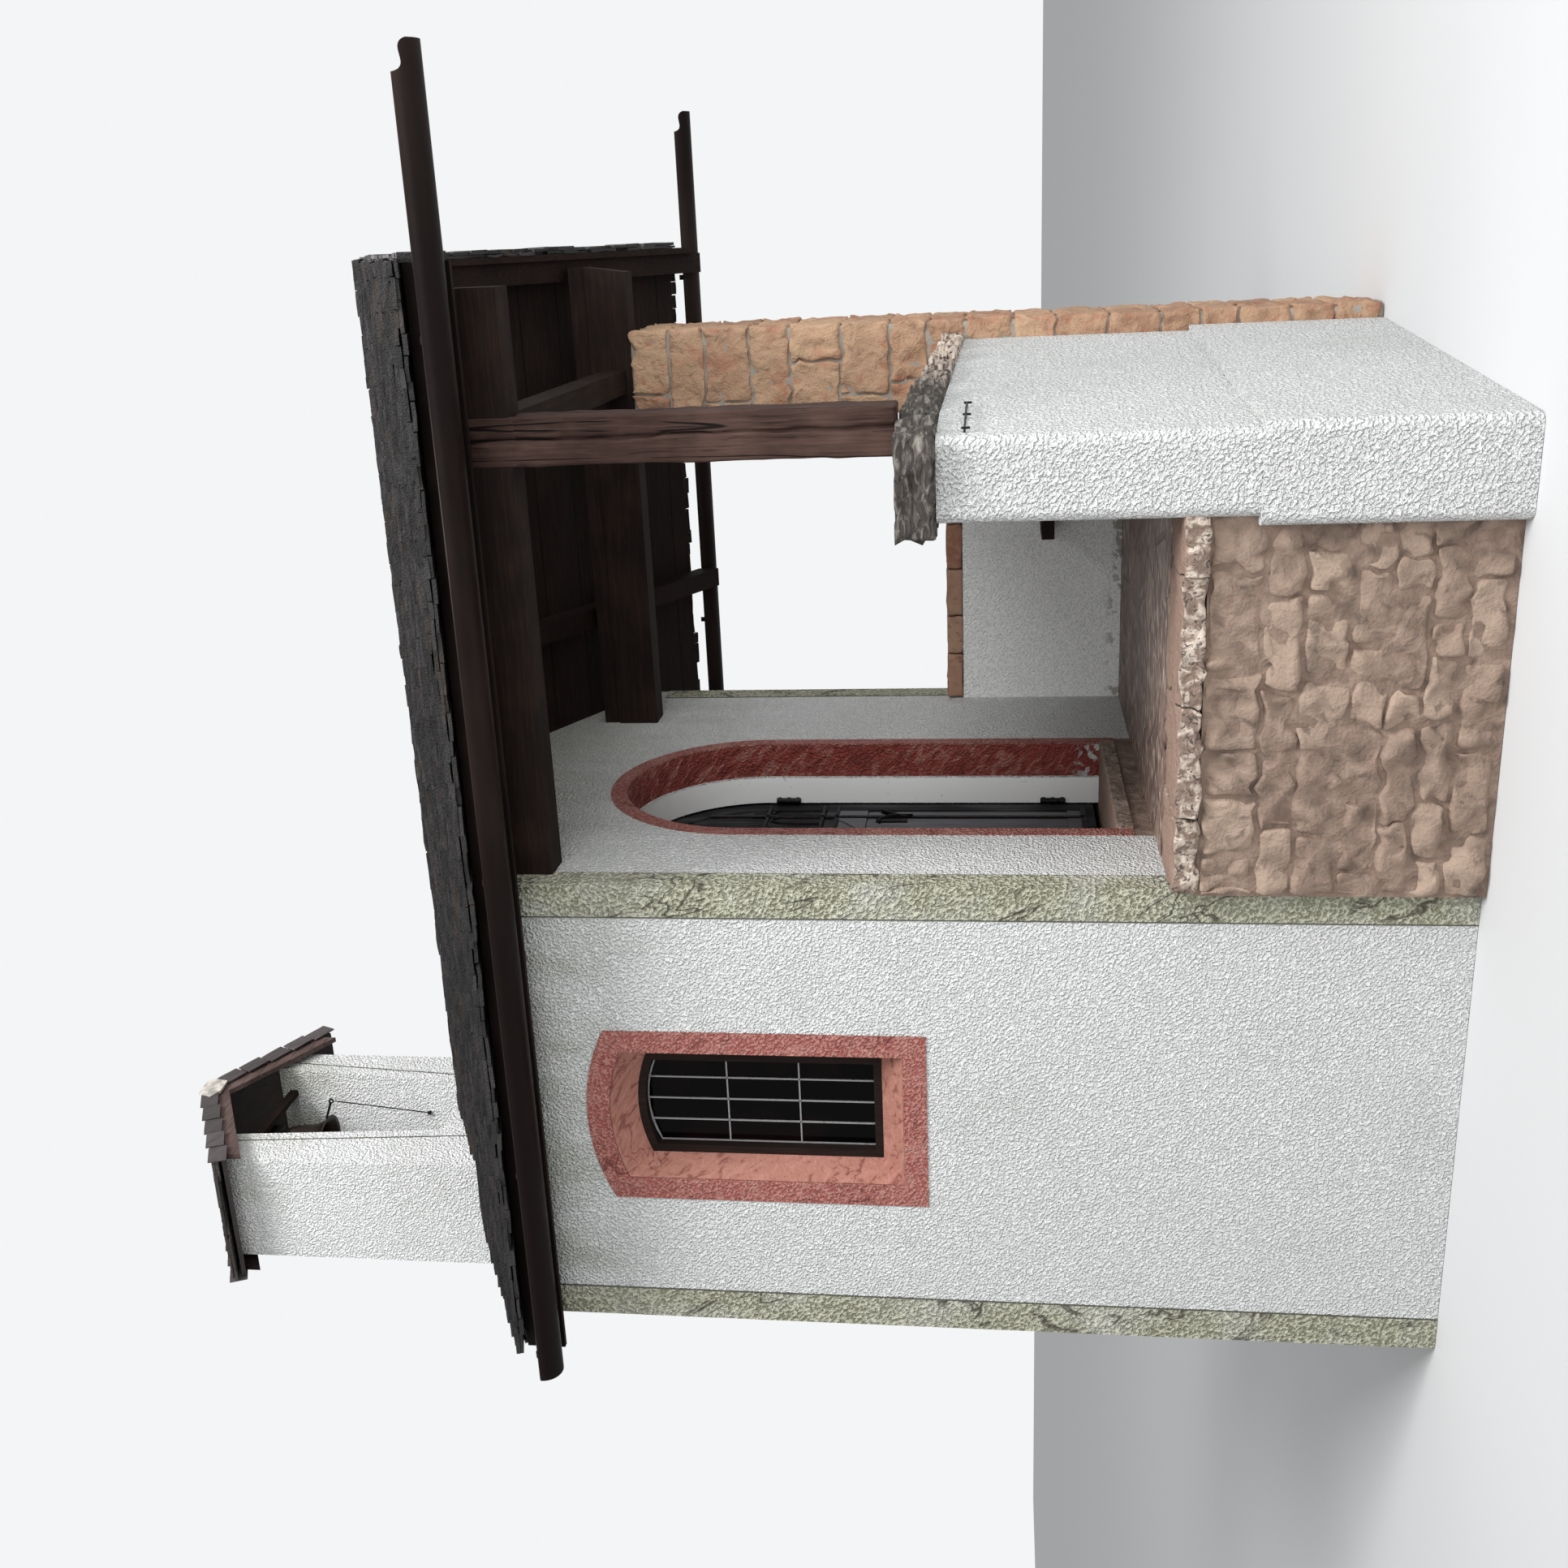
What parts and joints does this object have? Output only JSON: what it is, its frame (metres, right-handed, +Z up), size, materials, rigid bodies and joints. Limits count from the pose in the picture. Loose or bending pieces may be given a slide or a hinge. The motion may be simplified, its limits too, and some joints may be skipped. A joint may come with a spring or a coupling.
{
  "type": "roadside chapel",
  "caption": "Small white roughcast chapel with a round arched doorway, a shingled gable roof over an open porch on a post and a stone pillar, and a bell turret.",
  "frame": {"origin": "on the ground under the doorway, in the plane of the front wall face and at the middle of the nave's width", "axes": "+Z up, -Y out of the doorway towards the porch front, +X towards the far side wall away from the open porch side"},
  "size_m": [3.728, 5.427, 5.91],
  "materials": {
    "roughcast": "matte",
    "painted_band": "matte",
    "red_marbled": "matte",
    "rubble": "matte",
    "floor_stone": "matte",
    "pillar_stone": "matte",
    "coping_stone": "matte",
    "cap_brick": "matte",
    "dark_timber": "matte",
    "post_timber": "matte",
    "shingle": "matte",
    "turret_shingle": "matte",
    "turret_board": "matte",
    "apex_zinc": "matte",
    "brown_sheet": "satin",
    "forged_iron": "matte",
    "bell_bronze": "satin",
    "pane": "gloss"
  },
  "bodies": {
    "chapel": {"wall_side_near": "roughcast", "wall_side_far": "roughcast", "wall_rear": "roughcast", "bell_wall": "roughcast", "wall_front_near": "roughcast", "wall_front_far": "roughcast", "wall_front_over": "roughcast", "door_foundation": "rubble", "nave_floor": "floor_stone", "pilasters_near": "painted_band", "pilasters_far": "painted_band", "portal_jambs": "red_marbled", "portal_arch": "red_marbled", "threshold": "red_marbled", "door_pintles": "forged_iron", "surround_near": "red_marbled", "surround_far": "red_marbled", "window_frame_near": "dark_timber", "window_frame_far": "dark_timber", "window_glass": "pane", "platform_base": "rubble", "platform_edge": "floor_stone", "platform_paving": "floor_stone", "parapet_far": "roughcast", "parapet_far_cap": "cap_brick", "parapet_front": "roughcast", "parapet_front_cap": "coping_stone", "wall_iron": "forged_iron", "post": "post_timber", "stone_pillar": "pillar_stone", "bench_seat": "dark_timber", "purlin_near": "dark_timber", "purlin_far": "dark_timber", "ridge_beam": "dark_timber", "tie_beam": "dark_timber", "rafters_near": "dark_timber", "rafters_far": "dark_timber", "roof_boards_near": "dark_timber", "roof_boards_far": "dark_timber", "shingles_near": "shingle", "shingles_far": "shingle", "verge_boards": "dark_timber", "fascias": "brown_sheet", "gutter_near": "brown_sheet", "gutter_far": "brown_sheet", "turret_walls": "roughcast", "turret_roof": "turret_shingle", "turret_barges": "turret_board", "apex_plate": "apex_zinc", "bell_bearings": "forged_iron", "pull_wire": "forged_iron"},
    "door": {"door_leaf": "dark_timber", "door_ironwork": "forged_iron"},
    "bell_swing": {"bell": "bell_bronze", "bell_yoke": "forged_iron"}
  },
  "joints": [
    {"name": "door_hinge", "type": "hinge", "parent": "chapel", "child": "door", "pos_m": [0.429, 0.3345, 1.265], "axis": [0, 0, -1], "range_deg": [0, 95]},
    {"name": "bell_pivot", "type": "hinge", "parent": "chapel", "child": "bell_swing", "pos_m": [-0.112, 2.01, 5.56], "axis": [0, 1, 0], "range_deg": [-20, 20]}
  ]
}
